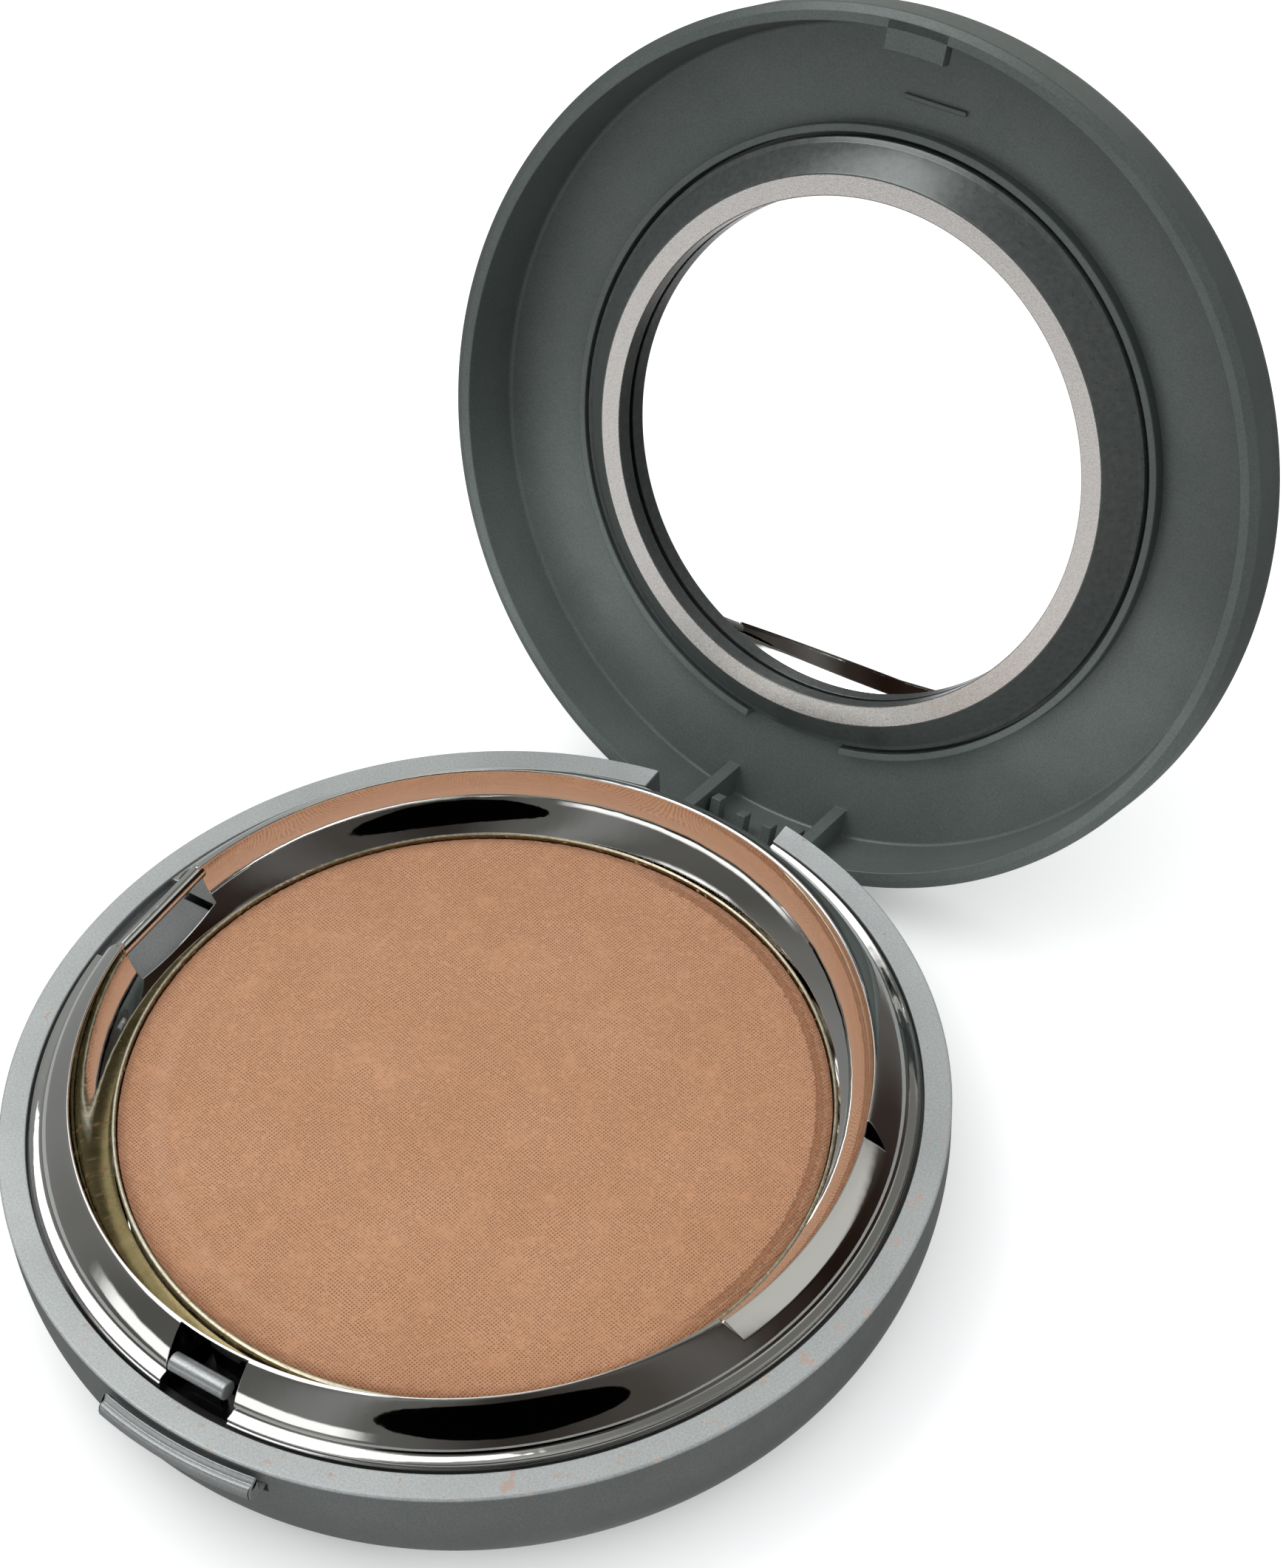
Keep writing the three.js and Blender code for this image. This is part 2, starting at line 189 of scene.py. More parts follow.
def cylinder(name, axis, r, a, b, u, v, segs=48, bevel=0.0):
    bm = bmesh.new()
    bmesh.ops.create_cone(
        bm, cap_ends=True, segments=segs, radius1=r, radius2=r, depth=b - a
    )
    if bevel:
        es = [e for e in bm.edges if e.calc_face_angle(0) > math.radians(60)]
        bmesh.ops.bevel(
            bm, geom=es, offset=bevel, segments=3, profile=0.5, affect="EDGES"
        )
    m = (a + b) / 2
    rot = {
        "x": Matrix.Rotation(math.pi / 2, 4, "Y"),
        "y": Matrix.Rotation(math.pi / 2, 4, "X"),
        "z": Matrix.Identity(4),
    }[axis]
    place = {"x": (m, u, v), "y": (u, m, v), "z": (u, v, m)}[axis]
    bmesh.ops.transform(bm, matrix=Matrix.Translation(place) @ rot, verts=bm.verts[:])
    return new_object(name, bm)


def boolean(obj, tool, op="DIFFERENCE"):
    m = obj.modifiers.new("cut", "BOOLEAN")
    m.operation = op
    m.object = tool
    m.solver = "EXACT"
    bpy.context.view_layer.update()
    dg = bpy.context.evaluated_depsgraph_get()
    me = bpy.data.meshes.new_from_object(obj.evaluated_get(dg))
    obj.modifiers.clear()
    old = obj.data
    obj.data = me
    bpy.data.meshes.remove(old)
    bpy.data.objects.remove(tool)
    return obj


def settle(obj, matrix, angle=32):
    """Row millimetres -> metres in the row frame, with sharp edges marked."""
    me = obj.data
    me.transform(Matrix.Scale(MM, 4) @ matrix)
    for p in me.polygons:
        p.use_smooth = True
    me.set_sharp_from_angle(angle=math.radians(angle))
    me.update()
    m = obj.modifiers.new("normals", "WEIGHTED_NORMAL")
    m.mode = "FACE_AREA_WITH_ANGLE"
    m.keep_sharp = True
    bpy.context.view_layer.update()
    dg = bpy.context.evaluated_depsgraph_get()
    new = bpy.data.meshes.new_from_object(obj.evaluated_get(dg))
    obj.modifiers.clear()
    obj.data = new
    bpy.data.meshes.remove(me)
    return obj


def remap_copy(obj, name, body, nodes=(), mat=None):
    obj.name = name
    obj.data.name = name
    if mat is not None:
        if not obj.data.materials:
            obj.data.materials.append(mat)
        else:
            obj.data.materials[0] = mat
    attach(obj, body)
    if nodes:
        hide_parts(*nodes)
    return obj


def arc(cx, cz, r, a0, a1, n):
    return [
        (
            cx + r * math.cos(math.radians(a0 + (a1 - a0) * i / n)),
            cz + r * math.sin(math.radians(a0 + (a1 - a0) * i / n)),
        )
        for i in range(n + 1)
    ]


def sector_tool(name, a0, a1, r, z0, z1, inner=0.0, n=24):
    outer = [
        (
            r * math.cos(math.radians(a0 + (a1 - a0) * i / n)),
            r * math.sin(math.radians(a0 + (a1 - a0) * i / n)),
        )
        for i in range(n + 1)
    ]
    if inner:
        back = [
            (
                inner * math.cos(math.radians(a1 + (a0 - a1) * i / n)),
                inner * math.sin(math.radians(a1 + (a0 - a1) * i / n)),
            )
            for i in range(n + 1)
        ]
        pts = outer + back
    else:
        pts = [(0, 0)] + outer
    return prism(name, pts, z0, z1, axis="z")


# ----------------------------------------------------------------- materials
class Mat:
    """Small helper round a Principled material."""

    def __init__(self, name):
        self.m = bpy.data.materials.new(name)
        self.m.use_nodes = True
        self.nt = self.m.node_tree
        self.n = self.nt.nodes
        self.l = self.nt.links
        self.bsdf = self.n["Principled BSDF"]
        tc = self.n.new("ShaderNodeTexCoord")
        mp = self.n.new("ShaderNodeMapping")
        mp.inputs["Scale"].default_value = (1000, 1000, 1000)  # millimetres
        self.l.new(tc.outputs["Object"], mp.inputs["Vector"])
        self.co = mp.outputs["Vector"]

    def set(self, **kw):
        names = {
            "color": "Base Color",
            "metallic": "Metallic",
            "rough": "Roughness",
            "spec": "Specular IOR Level",
            "ior": "IOR",
            "coat": "Coat Weight",
            "coat_rough": "Coat Roughness",
            "sheen": "Sheen Weight",
            "sheen_rough": "Sheen Roughness",
        }
        for k, v in kw.items():
            s = self.bsdf.inputs[names[k]]
            s.default_value = (*v, 1) if k == "color" else v
        return self

    def math(self, op, a, b=None, c=None, clamp=False):
        m = self.n.new("ShaderNodeMath")
        m.operation = op
        m.use_clamp = clamp
        for i, x in enumerate((a, b, c)):
            if x is None:
                continue
            if isinstance(x, (int, float)):
                m.inputs[i].default_value = x
            else:
                self.l.new(x, m.inputs[i])
        return m.outputs[0]

    def noise(self, scale, detail=3, rough=0.5, distortion=0.0, co=None, color=False):
        t = self.n.new("ShaderNodeTexNoise")
        t.inputs["Scale"].default_value = scale
        t.inputs["Detail"].default_value = detail
        t.inputs["Roughness"].default_value = rough
        t.inputs["Distortion"].default_value = distortion
        self.l.new(co or self.co, t.inputs["Vector"])
        return t.outputs["Color" if color else "Fac"]

    def ramp(self, fac, stops, kind="LINEAR"):
        r = self.n.new("ShaderNodeValToRGB")
        r.color_ramp.interpolation = kind
        e = r.color_ramp.elements
        while len(e) < len(stops):
            e.new(0.5)
        for el, (p, c) in zip(e, stops):
            el.position = p
            el.color = (*c, 1) if isinstance(c, tuple) else (c, c, c, 1)
        self.l.new(fac, r.inputs["Fac"])
        return r.outputs["Color"]

    def band(self, x, lo, hi):
        """Smooth 0 to 1 as x goes from lo to hi."""
        m = self.n.new("ShaderNodeMapRange")
        m.interpolation_type = "SMOOTHSTEP"
        m.inputs["From Min"].default_value = lo
        m.inputs["From Max"].default_value = hi
        self.l.new(x, m.inputs["Value"])
        return m.outputs["Result"]

    def mix(self, fac, a, b, kind="MIX"):
        m = self.n.new("ShaderNodeMix")
        m.data_type = "RGBA"
        m.blend_type = kind
        for s, x in ((m.inputs[0], fac), (m.inputs[6], a), (m.inputs[7], b)):
            if isinstance(x, (int, float)):
                s.default_value = x
            elif isinstance(x, tuple):
                s.default_value = (*x, 1)
            else:
                self.l.new(x, s)
        return m.outputs[2]

    def xyz(self):
        s = self.n.new("ShaderNodeSeparateXYZ")
        self.l.new(self.co, s.inputs[0])
        return s.outputs

    def bump(self, height, strength, distance_mm, normal=None):
        b = self.n.new("ShaderNodeBump")
        b.inputs["Strength"].default_value = strength
        b.inputs["Distance"].default_value = distance_mm * MM
        self.l.new(height, b.inputs["Height"])
        if normal is not None:
            self.l.new(normal, b.inputs["Normal"])
        return b.outputs["Normal"]

    def bevel(self, radius_mm, samples=6):
        b = self.n.new("ShaderNodeBevel")
        b.samples = samples
        b.inputs["Radius"].default_value = radius_mm * MM
        return b.outputs["Normal"]

    def out(self, socket, name):
        self.l.new(socket, self.bsdf.inputs[name])
        return self


def satin_plastic(name, light, dark, rough=0.42, metallic=0.35, specks=False, edge=0.1, wall=None, foot=None):
    m = Mat(name).set(metallic=metallic, spec=0.5)
    grain = m.noise(5.5, 2, 0.7)
    fine = m.noise(16, 1, 0.5)
    cloud = m.noise(0.12, 3, 0.55)
    col = m.ramp(cloud, [(0.3, dark), (0.7, light)])
    col = m.mix(1.0, col, m.ramp(grain, [(0.25, 0.8), (0.5, 1.0), (0.78, 1.22)]), "MULTIPLY")
    if foot is not None:
        # painted light: the part near the hinge is painted paler, in patches, standing in for light bounced up from
        # the floor and base
        fx, fy, fz = m.xyz()
        painted_bounce = m.math("SUBTRACT", 1.0, m.band(fz, H + 2.0, H + 26.0))
        painted_bounce = m.math("MULTIPLY", painted_bounce, m.math("ADD", 0.55, m.math("MULTIPLY", m.noise(0.10, 3, 0.6), 0.9)))
        col = m.mix(1.0, col, m.mix(painted_bounce, (1.0, 1.0, 1.0), (foot, foot, foot)), "MULTIPLY")
    if wall is not None:
        # painted shade: the side walls, below the flat rim, are painted darker than the rim
        wx, wy, wz = m.xyz()
        col = m.mix(1.0, col, m.mix(m.band(wz, H - 0.35, H - 0.08), (wall, wall, wall), (1.0, 1.0, 1.0)), "MULTIPLY")
    # specks turns on the painted pocket shade and the rim dust
    if specks:
        # painted shade: the unlit pocket behind the button is painted near-black
        px, py, pz = m.xyz()
        pr = m.math("SQRT", m.math("ADD", m.math("MULTIPLY", px, px), m.math("MULTIPLY", py, py)))
        pocket_painted_shade = m.math("MULTIPLY", m.math("SUBTRACT", 1.0, m.band(pr, 36.68, 36.74)), m.math("SUBTRACT", 1.0, m.band(pz, H - 0.6, H - 0.3)))
        pocket_painted_shade = m.math("MULTIPLY", pocket_painted_shade, m.math("SUBTRACT", 1.0, m.band(py, -33.0, -32.0)))
        col = m.mix(m.math("MULTIPLY", pocket_painted_shade, 0.97), col, (0.004, 0.004, 0.004))
        # powder dust lying on the flat rim, mostly towards the front right
        x, y, z = m.xyz()
        rr = m.math("SQRT", m.math("ADD", m.math("MULTIPLY", x, x), m.math("MULTIPLY", y, y)))
        on_rim = m.math("MULTIPLY", m.band(z, H - 0.35, H - 0.1), m.band(rr, 36.6, 36.9))
        side = m.band(m.math("SUBTRACT", m.math("MULTIPLY", x, 0.75), m.math("MULTIPLY", y, 0.65)), -8, 34)
        spots = m.band(m.noise(0.62, 4, 0.62), 0.585, 0.66)
        dust = m.math("MULTIPLY", m.math("MULTIPLY", on_rim, side), spots)
        few = m.math("MULTIPLY", on_rim, m.band(m.noise(0.95, 3, 0.7), 0.675, 0.71))
        dust = m.math("MULTIPLY", m.math("MAXIMUM", dust, few), m.band(m.noise(4.2, 2, 0.6), 0.25, 0.45))
        col = m.mix(m.math("MULTIPLY", dust, 0.62), col, (0.38, 0.215, 0.14))
        m.out(m.math("MULTIPLY", m.math("SUBTRACT", 1.0, dust), metallic), "Metallic")
    m.out(col, "Base Color")
    m.out(m.math("ADD", m.math("MULTIPLY", m.noise(0.9, 4, 0.6), 0.12), rough - 0.06), "Roughness")
    h = m.math("ADD", m.math("MULTIPLY", grain, 0.8), m.math("MULTIPLY", fine, 0.35))
    m.out(m.bump(h, 0.22, 0.05, m.bevel(edge) if edge else None), "Normal")
    return m.m


def chrome(name, color=(0.86, 0.85, 0.83), rough=0.035, edge=0.12, smears=True):
    m = Mat(name).set(color=color, metallic=1.0, spec=0.5)
    haze = m.noise(0.35, 5, 0.6, 0.8)
    if smears:
        m.out(m.math("ADD", m.math("MULTIPLY", m.band(haze, 0.5, 0.8), 0.07), rough), "Roughness")
    else:
        m.set(rough=rough)
    dust = m.band(m.noise(3.3, 2, 0.5), 0.735, 0.79)
    m.out(m.mix(m.math("MULTIPLY", dust, 0.5), color, (0.55, 0.43, 0.35)), "Base Color")
    wave = m.noise(0.45, 2, 0.4)
    m.out(m.bump(wave, 0.06, 0.25, m.bevel(edge)), "Normal")
    return m.m


# wall paints the base's side walls darker (painted shade); specks adds the rim dust and the painted shade in the
# button pocket
M_BASE = satin_plastic("satin_base", (0.445, 0.467, 0.465), (0.395, 0.417, 0.415), 0.42, 0.4, specks=True, wall=0.40)
# foot paints the lid paler towards the hinge: painted bounce light
M_LID = satin_plastic("satin_lid", (0.094, 0.109, 0.104), (0.080, 0.095, 0.090), 0.40, 0.35, foot=1.85)
def button_plastic(*a, **k):
    """Satin button whose arm, down in the pocket, is painted black as painted shade."""
    mat = satin_plastic(*a, **k)
    n, l = mat.node_tree.nodes, mat.node_tree.links
    b = n["Principled BSDF"]
    src = b.inputs["Base Color"].links[0].from_socket
    tc = n.new("ShaderNodeTexCoord")
    sep = n.new("ShaderNodeSeparateXYZ")
    l.new(tc.outputs["Object"], sep.inputs[0])
    low = n.new("ShaderNodeMapRange")
    low.interpolation_type = "SMOOTHSTEP"
    low.inputs["From Min"].default_value = (H + 0.45) * MM
    low.inputs["From Max"].default_value = (H + 0.75) * MM
    l.new(sep.outputs[2], low.inputs["Value"])
    out = n.new("ShaderNodeMapRange")
    out.interpolation_type = "SMOOTHSTEP"
    out.inputs["From Min"].default_value = 0.0372
    out.inputs["From Max"].default_value = 0.0380
    neg = n.new("ShaderNodeMath")
    neg.operation = "MULTIPLY"
    neg.inputs[1].default_value = -1.0
    l.new(sep.outputs[1], neg.inputs[0])
    l.new(neg.outputs[0], out.inputs["Value"])
    mx = n.new("ShaderNodeMath")
    mx.operation = "MAXIMUM"
    l.new(low.outputs["Result"], mx.inputs[0])
    l.new(out.outputs["Result"], mx.inputs[1])
    mix = n.new("ShaderNodeMix")
    mix.data_type = "RGBA"
    l.new(mx.outputs[0], mix.inputs[0])
    # painted shade: the arm below the rim and inside the wall is painted near-black
    mix.inputs[6].default_value = (0.004, 0.004, 0.004, 1)
    l.new(src, mix.inputs[7])
    l.new(mix.outputs[2], b.inputs["Base Color"])
    return mat


M_BUTTON = button_plastic("satin_button", (0.36, 0.375, 0.375), (0.32, 0.335, 0.335), 0.30, 0.6, edge=0.12)
M_CHROME = chrome("chrome_plating")


def frame_chrome():
    m = Mat("frame_smoky_plating").set(metallic=0.5, spec=0.5)
    n = m.noise(1.6, 5, 0.7)
    # painted reflection: dark specks standing in for the textured floor reflected in the cone, scattered over it
    specks = m.band(m.noise(3.0, 3, 0.65), 0.60, 0.70)
    col = m.ramp(n, [(0.3, (0.095, 0.105, 0.103)), (0.7, (0.135, 0.147, 0.144))])
    m.out(m.mix(m.math("MULTIPLY", specks, 0.45), col, (0.04, 0.04, 0.042)), "Base Color")
    m.out(m.math("ADD", m.math("MULTIPLY", n, 0.16), 0.16), "Roughness")
    m.out(m.bump(n, 0.1, 0.05, m.bevel(0.08)), "Normal")
    return m.m


def frame_satin():
    m = Mat("frame_satin_face").set(metallic=1.0)
    g = m.noise(7.5, 2, 0.75)
    col = m.ramp(g, [(0.2, (0.42, 0.39, 0.375)), (0.5, (0.66, 0.63, 0.61)), (0.8, (0.92, 0.89, 0.86))])
    m.out(col, "Base Color")
    m.out(m.math("ADD", m.math("MULTIPLY", g, 0.25), 0.16), "Roughness")
    m.out(m.bump(g, 0.35, 0.04, m.bevel(0.08)), "Normal")
    return m.m


def lacquer():
    m = Mat("gold_lacquer_tin").set(metallic=1.0)
    x, y, z = m.xyz()
    n = m.noise(0.5, 5, 0.6)
    col = m.ramp(n, [(0.3, (0.20, 0.165, 0.075)), (0.6, (0.29, 0.24, 0.12)), (0.8, (0.36, 0.31, 0.17))])
    dust = m.math("MULTIPLY", m.band(m.noise(1.7, 4, 0.65), 0.56, 0.68), 0.85)
    col = m.mix(dust, col, (0.55, 0.33, 0.18))
    m.out(col, "Base Color")
    m.out(m.math("MULTIPLY", m.math("SUBTRACT", 1.0, dust), 0.95), "Metallic")
    m.out(m.math("ADD", m.math("MULTIPLY", n, 0.25), 0.16), "Roughness")
    m.out(m.bump(n, 0.25, 0.12, m.bevel(0.05)), "Normal")
    return m.m


def pale_rim():
    m = Mat("bare_tin_rim").set(metallic=1.0)
    n = m.noise(2.2, 4, 0.6)
    col = m.ramp(n, [(0.3, (0.50, 0.46, 0.33)), (0.65, (0.72, 0.69, 0.55))])
    dust = m.math("MULTIPLY", m.band(m.noise(3.0, 3, 0.6), 0.55, 0.66), 0.6)
    m.out(m.mix(dust, col, (0.55, 0.32, 0.18)), "Base Color")
    m.out(m.math("ADD", m.math("MULTIPLY", n, 0.2), 0.22), "Roughness")
    m.out(m.math("SUBTRACT", 1.0, dust), "Metallic")
    return m.m


def powder():
    m = Mat("pressed_powder").set(spec=0.18, sheen=0.12, sheen_rough=0.6)
    x, y, z = m.xyz()
    rr = m.math("SQRT", m.math("ADD", m.math("MULTIPLY", x, x), m.math("MULTIPLY", y, y)))
    # woven emboss: rows of small pits on two crossing diagonals, wandering a little
    wob = m.noise(0.16, 2, 0.5, color=True)
    sep = m.n.new("ShaderNodeSeparateColor")
    m.l.new(wob, sep.inputs[0])
    xs = m.math("ADD", x, m.math("MULTIPLY", sep.outputs[0], 0.9))
    ys = m.math("ADD", y, m.math("MULTIPLY", sep.outputs[1], 0.9))
    k = 2 * math.pi / 0.42
    d1 = m.math("SINE", m.math("MULTIPLY", m.math("ADD", xs, m.math("MULTIPLY", ys, 0.62)), k))
    d2 = m.math("SINE", m.math("MULTIPLY", m.math("SUBTRACT", ys, m.math("MULTIPLY", xs, 0.62)), k))
    weave = m.math("MULTIPLY", d1, d2)
    patch = m.band(m.noise(0.45, 4, 0.7), 0.22, 0.55)
    crumb = m.noise(5.2, 4, 0.75)
    pit = m.math("MULTIPLY", m.band(weave, 0.10, 0.75), m.math("MULTIPLY", m.band(m.noise(2.6, 2, 0.6), 0.28, 0.52), patch))
    base = m.ramp(
        m.noise(0.11, 4, 0.6),
        [(0.30, (0.478, 0.242, 0.130)), (0.5, (0.500, 0.257, 0.142)), (0.70, (0.520, 0.273, 0.156))],
    )
    # painted shade: the pits of the emboss are painted darker
    col = m.mix(m.math("MULTIPLY", pit, 0.85), base, (0.215, 0.085, 0.036))
    col = m.mix(1.0, col, m.ramp(crumb, [(0.2, 0.74), (0.5, 1.0), (0.8, 1.20)]), "MULTIPLY")
    # slightly polished, paler ring where a puff has rubbed, towards the front left
    ring_w = m.math("MULTIPLY", m.band(rr, 25.0, 25.8), m.math("SUBTRACT", 1.0, m.band(rr, 26.4, 27.2)))
    lee = m.band(m.math("ADD", m.math("MULTIPLY", x, -0.62), m.math("MULTIPLY", y, -0.78)), 12.0, 23.0)
    col = m.mix(m.math("MULTIPLY", m.math("MULTIPLY", ring_w, lee), 0.16), col, (0.60, 0.38, 0.25))
    # darker crumbly groove near the edge, towards the back right; the darkening is painted shade in the groove
    gn = m.math("ADD", rr, m.math("MULTIPLY", m.math("SUBTRACT", m.noise(3.2, 4, 0.8), 0.5), 1.5))
    groove = m.math("MULTIPLY", m.band(gn, 27.9, 28.2), m.math("SUBTRACT", 1.0, m.band(gn, 28.3, 28.7)))
    far = m.band(m.math("ADD", m.math("MULTIPLY", x, 0.80), m.math("MULTIPLY", y, 0.60)), 13.0, 20.0)
    groove = m.math("MULTIPLY", groove, far)
    col = m.mix(m.math("MULTIPLY", groove, 0.75), col, (0.36, 0.135, 0.048))
    # darker, broken edge
    edge_w = m.math("ADD", rr, m.math("MULTIPLY", m.noise(1.1, 5, 0.7), 2.4))
    edge = m.band(edge_w, 29.2, 30.5)
    col = m.mix(m.math("MULTIPLY", edge, 0.5), col, (0.27, 0.115, 0.054))
    m.out(col, "Base Color")
    m.set(rough=0.92)
    h = m.math(
        "ADD",
        m.math("MULTIPLY", groove, -2.2),
        m.math("ADD", m.math("MULTIPLY", crumb, 0.9), m.math("MULTIPLY", pit, -1.3)),
    )
    m.out(m.bump(h, 0.8, 0.075), "Normal")
    return m.m


def mirror_mat():
    m = Mat("silvered_glass").set(metallic=1.0, color=(0.98, 0.985, 0.985))
    streak = m.noise(0.16, 4, 0.65, 1.5)
    m.out(m.math("MULTIPLY", m.band(streak, 0.62, 0.85), 0.05), "Roughness")
    m.out(m.mix(m.band(streak, 0.5, 0.8), (0.985, 0.99, 0.99), (0.95, 0.965, 0.97)), "Base Color")
    return m.m


def plain(name, color, rough, metallic=0.0, scale=3.0, bump=0.15):
    m = Mat(name).set(metallic=metallic)
    n = m.noise(scale, 4, 0.6)
    m.out(
        m.mix(1.0, color, m.ramp(n, [(0.25, 0.86), (0.75, 1.1)]), "MULTIPLY"),
        "Base Color",
    )
    m.out(m.math("ADD", m.math("MULTIPLY", n, 0.15), rough - 0.07), "Roughness")
    m.out(m.bump(n, bump, 0.05), "Normal")
    return m.m


# ---------------------------------------------------------------- base shell
prof = [(0, -H), (30, -H), (32.6, -H)]
a_, b_ = 39.0 - 32.6, 10.4
for i in range(1, 33):
    t = (i / 32) * (math.pi / 2)
    prof.append((32.6 + a_ * math.sin(t), -H + b_ - b_ * math.cos(t)))
prof += fillets(
    [
        (39.0, -2.7),
        (39.0, 0, 0.22),
        (36.75, 0, 0.08),
        (36.75, -0.95, 0.1),
        (34.75, -0.95, 0.1),
        (34.75, -9.5),
        (34.15, -10.8),
        (32.35, -11.5),
        (0, -11.5),
    ],
    4,
)[1:]
base = lathe("base", prof, 384)
for s in (-1, 1):
    x0, x1 = (-9.4, -6.65) if s < 0 else (6.65, 9.4)
    b = box("boss", x0, x1, 33.9, 36.2, 1.3 - H, -1.0)
    boolean(base, b, "UNION")
boolean(base, box("ledge", -35.2, -31.35, -4.55, 4.95, -3.0, -0.95, 0.12), "UNION")
boolean(base, box("gap", -6.65, 6.65, 33.2, 41, 3.3 - H, 1))
boolean(base, cylinder("bore", "x", 0.8, -8.45, 8.45, HY, HZ))
boolean(base, box("window", -7.6, 7.6, -42, -33, -2.65, -1.5))
pocket = lathe("pocket", [(0, -5.6), (35.75, -5.6), (35.75, -0.9), (0, -0.9)], 384)
boolean(pocket, box("t", -7.6, 7.6, -42, -33, -6, 0), "INTERSECT")
boolean(base, pocket)
boolean(base, box("label_recess", -15, 15, -22, -8, -H - 1, -H + 0.4))
settle(base, BASE)
remap_copy(base, "base_case", "base", ["base_shell"], M_BASE)

# ---------------------------------------------------------------- tray
CREST = 32.6
dome = [
    (35.42, 0.5),
    (35.4, 0.72),
    (35.33, 0.98),
    (35.2, 1.28),
    (35.02, 1.6),
    (34.8, 1.94),
    (34.55, 2.27),
    (34.27, 2.59),
    (33.97, 2.9),
    (33.65, 3.2),
    (33.42, 3.4),
    (33.22, 3.56),
    (33.03, 3.7),
    (32.87, 3.79),
    (32.74, 3.84),
]
cove = [
    (
        CREST - 6.14 * (1 - math.cos(math.radians(e))),
        3.62 - 6.14 * math.sin(math.radians(e)),
    )
    for e in [55.5 * i / 24 for i in range(25)]
]
prof = (
    [(0, -6.6), (31.2, -6.6), (31.2, -2.2), (33.0, -0.6)]
    + fillets([(33.0, -0.6), (36.45, -0.6), (36.45, 0.0, 0.06), (36.3, 0.06), (36.24, 0.38, 0.06), (35.55, 0.46, 0.05), (35.42, 0.5)], 3)[1:]
    + dome[1:]
    + [(32.67, 3.84), (32.625, 3.80), (32.6, 3.72)]
    + cove
    + [(29.97, -1.62), (30.42, -1.85), (30.42, -5.8), (0, -5.8)]
)
prof = [prof[0]] + densify(prof[1:-1], 0.35) + [prof[-1]]
tray = lathe("tray", prof, 512)
notch = lathe("notch", [(32.85, -8), (42, -8), (42, 6), (32.85, 6)], 512, closed=True)
boolean(notch, box("t", -4.1, 2.5, -43, -30, -9, 7), "INTERSECT")
boolean(tray, notch)
boolean(tray, box("window", -40, -31.05, -4.9, 5.3, -3.4, 6))
boolean(tray, box("relief", -7, 7, 34.25, 40, -2, 6))
scoop_prof = [
    (31.0, 3.25),
    (32.0, 3.1),
    (32.55, 2.95),
    (33.0, 2.81),
    (33.4, 2.68),
    (33.75, 2.56),
    (34.1, 2.42),
    (34.4, 2.29),
    (34.65, 2.15),
    (34.85, 1.99),
    (35.3, 1.45),
    (36.2, 6),
    (31.0, 6),
]
scoop = lathe("scoop", scoop_prof, 512, closed=True)
bm = bmesh.new()
lo_v = [bm.verts.new((0, 0, 1.0))]
hi_v = [bm.verts.new((0, 0, 7.0))]
for i in range(25):
    t = i / 24
    a0_ = math.radians(-18.6 + (17.0 + 18.6) * t)
    a1_ = math.radians(-24.2 + (25.5 + 24.2) * t)
    lo_v.append(bm.verts.new((44 * math.cos(a0_), 44 * math.sin(a0_), 1.0)))
    hi_v.append(bm.verts.new((44 * math.cos(a1_), 44 * math.sin(a1_), 7.0)))
bm.faces.new(lo_v)
bm.faces.new(hi_v[::-1])
for i in range(26):
    j = (i + 1) % 26
    bm.faces.new((lo_v[i], lo_v[j], hi_v[j], hi_v[i]))
bmesh.ops.triangulate(bm, faces=bm.faces[:])
wedge = new_object("wedge", bm)
boolean(scoop, wedge, "INTERSECT")
boolean(tray, scoop)
bar = cylinder("bar", "y", 0.66, -5.2, 5.6, -32.55, 3.05, 40)
boolean(tray, bar, "UNION")
settle(tray, BASE, 38)
remap_copy(tray, "chromed_tray", "base", ["pan_tray"], M_CHROME)

# ---------------------------------------------------------------- pan, powder
ta = math.radians(-150.8)
TILT = (
    Matrix.Translation((0, 0, H - 1.07))
    @ Matrix.Rotation(math.radians(1.85), 4, Vector((math.sin(ta), -math.cos(ta), 0)))
)
prof = fillets(
    [
        (0, -3.7),
        (29.1, -3.7, 0.3),
        (29.62, -3.2, 0.3),
        (29.8, -0.9),
        (29.8, 0.0, 0.14),
        (29.47, 0.0, 0.1),
        (29.4, -0.6),
        (29.3, -3.0),
        (29.0, -3.3, 0.2),
        (0, -3.3),
    ],
    5,
)
pan = lathe("pan", prof, 384)
pan.data.materials.append(lacquer())
pan.data.materials.append(pale_rim())
for p in pan.data.polygons:
    if p.center.z > -0.13:
        p.material_index = 1
settle(pan, TILT, 40)
remap_copy(pan, "tin_pan", "base", ["pan"])

# Powder: fine disc whose edge crumbles away from the pan's wall.
from mathutils import noise as mnoise

bm = bmesh.new()
RINGS, SEGS = 150, 720
R_P = 29.33


def powder_z(x, y):
    r = math.hypot(x, y)
    z = -0.16 + 0.05 * math.exp(-((r / 24) ** 2))
    v = Vector((x, y, 0))
    z += 0.02 * mnoise.noise(v * 0.15)
    # slumped rim, broken unevenly
    ang = math.atan2(y, x)
    w = 0.75 + 0.35 * mnoise.noise(Vector((math.cos(ang) * 9, math.sin(ang) * 9, 3.1)))
    e = max(0.0, (r - (R_P - w)) / w)
    z -= 0.26 * e**1.6
    cr = max(0.0, (r - (R_P - 1.6)) / 1.6)
    z += cr * 0.07 * mnoise.noise(v * 2.6) + cr * 0.05 * mnoise.noise(v * 6.5)
    return z


